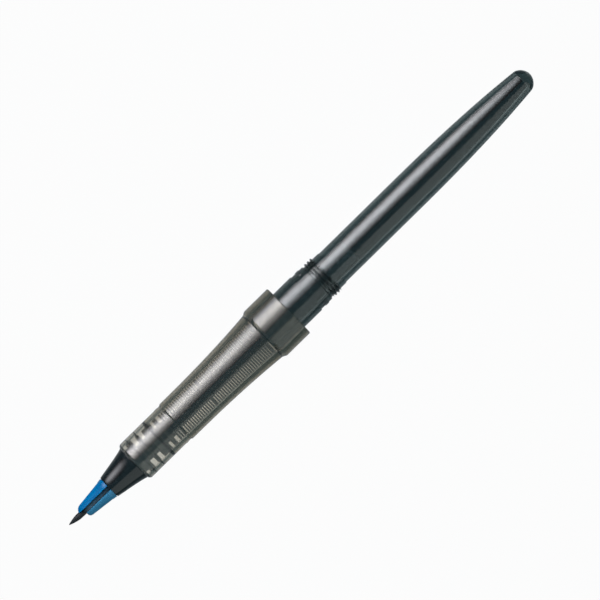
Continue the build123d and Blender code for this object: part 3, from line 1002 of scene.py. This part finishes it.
def thread_tree():
    """Lifts the outer skin along a right-hand helix about X, faded out at both ends."""
    tree = geometry_tree("lifted_thread", thread_sizes)
    given = add(tree, "NodeGroupInput").outputs
    spot = add(tree, "GeometryNodeInputPosition")
    part = add(tree, "ShaderNodeSeparateXYZ", (spot,)).outputs
    angle = add(tree, "ShaderNodeMath", (part["Z"], part["Y"]), operation="ARCTAN2")
    turns = add(tree, "ShaderNodeMath", (angle, 2 * math.pi), operation="DIVIDE")
    from_crest = add(tree, "ShaderNodeMath", (part["X"], given["Crest Place"]),
                     operation="SUBTRACT")
    pitches = add(tree, "ShaderNodeMath", (from_crest, given["Pitch"]), operation="DIVIDE")
    unrolled = add(tree, "ShaderNodeMath", (pitches, turns), operation="SUBTRACT")
    off_crest = add(tree, "ShaderNodeMath", (unrolled, 0.5), operation="PINGPONG")
    off = add(tree, "ShaderNodeMath", (off_crest, given["Pitch"]), operation="MULTIPLY")
    half_base, half_crest = (
        add(tree, "ShaderNodeMath", (given[width], 0.5), operation="MULTIPLY")
        for width in ("Base", "Crest"))
    flank = add(tree, "ShaderNodeMapRange", {
        "Value": off, "From Min": half_base, "From Max": half_crest})
    into = add(tree, "ShaderNodeMath", (part["X"], given["Start"]), operation="SUBTRACT")
    left = add(tree, "ShaderNodeMath", (given["Length"], into), operation="SUBTRACT")
    nearest = add(tree, "ShaderNodeMath", (into, left), operation="MINIMUM")
    fade = add(tree, "ShaderNodeMapRange", {"Value": nearest, "From Max": given["Run Out"]})
    share = add(tree, "ShaderNodeMath", (flank, fade), operation="MULTIPLY")
    height = add(tree, "ShaderNodeMath", (share, given["Height"]), operation="MULTIPLY")
    spoke = add(tree, "ShaderNodeCombineXYZ", {"Y": part["Y"], "Z": part["Z"]})
    outwards = add(tree, "ShaderNodeVectorMath", (spoke,), operation="NORMALIZE")
    radius = add(tree, "ShaderNodeVectorMath", (spoke,), operation="LENGTH").outputs["Value"]
    lift = add(tree, "ShaderNodeVectorMath", {0: outwards, "Scale": height}, operation="SCALE")
    least = add(tree, "ShaderNodeMath", (given["Root Radius"], skin_share), operation="MULTIPLY")
    outside = add(tree, "FunctionNodeCompare", {"A": radius, "B": least}, operation="GREATER_THAN")
    lifted = add(tree, "GeometryNodeSetPosition", {
        "Geometry": given["Geometry"], "Selection": outside, "Offset": lift})
    close_tree(tree, lifted, given["Material"])
    return tree


apply_tree(tank, thread_tree(), thread_sizes)
tank.data.set_sharp_from_angle(angle=thread_sharp_angle)
print(f"thread: {thread_length / thread_pitch:.1f} turns at {thread_pitch} mm pitch")

# %% [markdown]
# ## Tying the pieces to the construction
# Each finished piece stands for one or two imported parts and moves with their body. The sealed
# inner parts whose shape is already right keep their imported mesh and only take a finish.

# %% Tie the pieces


def place(piece, material, slot, nodes=(), body="pen"):
    """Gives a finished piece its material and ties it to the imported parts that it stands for."""
    piece.data.materials.clear()
    piece.data.materials.append(material)
    if nodes:
        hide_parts(*nodes)
    if body:
        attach(piece, body)
    print(f"{piece.name}: {len(piece.data.polygons)} faces for {', '.join(nodes) or slot}")


place(nib, nib_fibre, "nib_fibre", ["nib_tip", "nib_stem"], body=None)
place(cone, black_abs, "cone_black", ["nose_cone"])
place(grip, smoke_grip, "grip_smoke", ["grip_sleeve"])
place(holder, stained_comb, "collector_dark", ["nib_holder"])
place(core, stained_comb, "collector_dark", ["collector"])
place(comb, stained_comb, "collector_dark")
place(tank, smoke_tank, "tank_smoke", ["ink_tank"])
place(guide_ring, ring_blue, "guide_blue", ["nib_guide"])
place(upper_blade, blade_blue, "guide_blue")
place(lower_blade, blade_blue, "guide_blue")
kept = {
    "collector_seal": black_rubber,
    "relay_wick": wick_fibre,
    "tank_plug": plug_plastic,
    "ink_charge": liquid_ink,
}
for node, material in kept.items():
    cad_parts[node].material_slots[0].material = material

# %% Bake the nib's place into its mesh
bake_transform(nib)

# %% [markdown]
# ## Studio
# A see-through dark thing shows its surroundings more than its colour. So each part of the studio
# has one job. A long soft lamp at one side draws the bright band, a dim card at the other side
# draws the grey one, and the plain dark room between them keeps the rest deep. The pale floor lies
# well below and glows like a light table straight under the pen, where the clear parts look
# through to it, and fades to the sides, so that the edges of the pen stay dark.

# %% Directions
lean = math.radians(1.5)                # of the view towards +Y
x_straight = -22.0                      # the place that is seen exactly from the side
x_middle = 3.1                          # of the view
y_middle = -0.04
lens_distance = 1.5
view_width = 0.1199
view_turn = math.radians(44.48)
away = math.atan2((x_straight - x_middle) * mm, lens_distance)
up = Vector((math.tan(away), math.sin(lean), math.cos(lean))).normalized()
along_pen = (Vector((1, 0, 0)) - up * up.x).normalized()
across_pen = up.cross(along_pen)
print(f"the view is {view_width} m wide and turned {math.degrees(view_turn):.1f} degrees")

# %% Lamp cards
card_distance = 0.5


def lamp_card(name, angles, ends, colour, strength, profile, end_fades):
    """A glowing card along the pen, seen from the pen between two angles off the view direction.

    ends are its places along the pen in metres. profile gives its glow across, from the first
    angle (0) to the second (1), and end_fades are the shares over which its two ends fade out.
    """
    bm = bmesh.new()
    layer = bm.loops.layers.uv.new("UVMap")
    corners = []
    for u, v in ((0, 0), (1, 0), (1, 1), (0, 1)):
        off = math.radians(angles[v])
        spoke = up * math.cos(off) + across_pen * math.sin(off)
        corners.append((bm.verts.new(spoke * card_distance + along_pen * ends[u]), (u, v)))
    face = bm.faces.new([corner for corner, _ in corners])
    for loop, (_, uv) in zip(face.loops, corners):
        loop[layer].uv = uv
    material, tree = new_material(name)
    where = add(tree, "ShaderNodeTexCoord").outputs["UV"]
    part = add(tree, "ShaderNodeSeparateXYZ", (where,)).outputs
    ramp = add(tree, "ShaderNodeValToRGB", {"Fac": part["Y"]})
    ramp.color_ramp.interpolation = "B_SPLINE"
    stops = ramp.color_ramp.elements
    while len(stops) < len(profile):
        stops.new(0.5)
    for stop, (share, glow) in zip(stops, profile):
        stop.position = share
        stop.color = (glow, glow, glow, 1)
    glow = add(tree, "ShaderNodeMath", (ramp.outputs["Color"], strength), operation="MULTIPLY")
    for end, full in ((0, end_fades[0]), (1, 1 - end_fades[1])):
        fade = add(tree, "ShaderNodeMapRange", {
            "Value": part["X"], "From Min": end, "From Max": full},
            interpolation_type="SMOOTHSTEP")
        glow = add(tree, "ShaderNodeMath", (fade, glow), operation="MULTIPLY")
    light = add(tree, "ShaderNodeEmission", {"Color": rgba(colour), "Strength": glow})
    add(tree, "ShaderNodeOutputMaterial", {"Surface": light})
    card = put_in_scene(name, mesh_from(bm, name))
    card.data.materials.append(material)
    card.visible_camera = False
    print(f"{name}: {angles[0]} to {angles[1]} degrees off the view")


# Share across the card and glow there: a long weak foot, a rounded top and a softer far side.
key_profile = [(0.00, 0.0), (0.07, 0.05), (0.18, 0.13), (0.29, 0.30), (0.39, 0.64), (0.46, 0.92),
               (0.53, 1.04), (0.60, 1.02), (0.67, 0.82), (0.74, 0.54), (0.81, 0.30), (0.88, 0.12),
               (1.00, 0.0)]
side_profile = [(0.00, 0.5), (0.01, 1.0), (0.90, 1.0), (1.00, 0.0)]
lamp_card("key_softbox", angles=(2, 88), ends=(-0.225, 0.22), colour="FAFAFF", strength=8.3,
          profile=key_profile, end_fades=(0.20, 0.32))
lamp_card("side_card", angles=(-28, -102), ends=(-0.4, 0.4), colour="EEFFFF", strength=0.95,
          profile=side_profile, end_fades=(0.1, 0.1))

# %% Floor
floor_depth = 0.30
floor_reach = 6.0


def out_on_floor(degrees):
    """How far out a direction from the pen meets the floor, that far off straight down."""
    return math.tan(math.radians(degrees)) * floor_depth


glow_middle = out_on_floor(3)
glow_half = out_on_floor(23)    # the glow is full up to here, to each side of its middle,
glow_end = out_on_floor(29)     # and gone from here
far_from = 0.58             # from here out the board is white again behind the clear parts,
far_to = 0.72               # so that they stay see-through from the sides too
seen_in_gloss = 0.2
seen_in_clear = 0.97
white_share = 0.96          # of its look where it is seen white; the rest is its own paint


def light_table():
    """Pale board that glows under the pen. The camera, gloss and clear plastic see it white."""
    material, tree = new_material("pale_light_table")
    paint = add(tree, "ShaderNodeBsdfDiffuse", {"Color": rgba("B4B4B4")})
    white = add(tree, "ShaderNodeEmission", {"Color": (1, 1, 1, 1), "Strength": 1.0})
    path = add(tree, "ShaderNodeLightPath").outputs
    spot = add(tree, "ShaderNodeTexCoord").outputs["Object"]
    y = add(tree, "ShaderNodeSeparateXYZ", (spot,)).outputs["Y"]
    from_glow = add(tree, "ShaderNodeMath", (y, glow_middle), operation="SUBTRACT")
    off = add(tree, "ShaderNodeMath", (from_glow,), operation="ABSOLUTE")
    reach = add(tree, "ShaderNodeVectorMath", (spot, (0, 0, -floor_depth)),
                operation="DISTANCE").outputs["Value"]
    lit, far = (
        add(tree, "ShaderNodeMapRange", {"Value": way, "From Min": start, "From Max": end},
            interpolation_type="SMOOTHSTEP")
        for way, start, end in ((off, glow_end, glow_half), (reach, far_from, far_to)))
    in_gloss, in_clear = (
        add(tree, "ShaderNodeMath", (path[ray], share), operation="MULTIPLY")
        for ray, share in (
            ("Is Glossy Ray", seen_in_gloss), ("Is Transmission Ray", seen_in_clear)))
    either = add(tree, "ShaderNodeMath", (in_gloss, in_clear), operation="MAXIMUM")
    under, behind = (
        add(tree, "ShaderNodeMath", (ray, zone), operation="MULTIPLY")
        for ray, zone in ((either, lit), (in_clear, far)))
    glow = add(tree, "ShaderNodeMath", (under, behind), operation="MAXIMUM")
    seen = add(tree, "ShaderNodeMath", (glow, path["Is Camera Ray"]), operation="MAXIMUM")
    share = add(tree, "ShaderNodeMath", (seen, white_share), operation="MULTIPLY")
    mixed = add(tree, "ShaderNodeMixShader", (share, paint, white))
    add(tree, "ShaderNodeOutputMaterial", {"Surface": mixed})
    return material


bm = bmesh.new()
bmesh.ops.create_grid(bm, x_segments=1, y_segments=1, size=floor_reach)
for vertex in bm.verts:
    vertex.co.z = -floor_depth
floor = put_in_scene("floor", mesh_from(bm, "floor"))
floor.data.materials.append(light_table())
print(f"floor {floor_depth} m below, glowing {glow_half:.2f} m to each side")

# %% World
room_light = 0.9
world = bpy.data.worlds.new("studio_room")
world.use_nodes = True
tree = world.node_tree
tree.nodes.clear()
room, white = (
    add(tree, "ShaderNodeBackground", {"Color": colour, "Strength": strength})
    for colour, strength in ((rgba("5F8E9A"), room_light), ((1, 1, 1, 1), 1.0)))
seen = add(tree, "ShaderNodeLightPath").outputs["Is Camera Ray"]
air = add(tree, "ShaderNodeMixShader", (seen, room, white))
add(tree, "ShaderNodeOutputWorld", {"Surface": air})
bpy.context.scene.world = world
print(f"room light {room_light}, white to the camera")

# %% Camera
sensor_width = 36.0
lens = bpy.data.cameras.new("camera")
lens.sensor_width = sensor_width
lens.lens = sensor_width * lens_distance / view_width
lens.clip_start = 0.01
camera = put_in_scene("camera", lens)
right = along_pen * math.cos(view_turn) - across_pen * math.sin(view_turn)
above = along_pen * math.sin(view_turn) + across_pen * math.cos(view_turn)
aim = Vector((x_middle * mm, y_middle * mm, 0))
facing = Matrix((right, above, up)).transposed().to_4x4()
camera.matrix_world = Matrix.Translation(aim + up * lens_distance) @ facing
bpy.context.scene.camera = camera
bpy.context.scene.view_settings.view_transform = "Standard"
print(f"camera {lens_distance} m away, lens {lens.lens:.0f} mm")
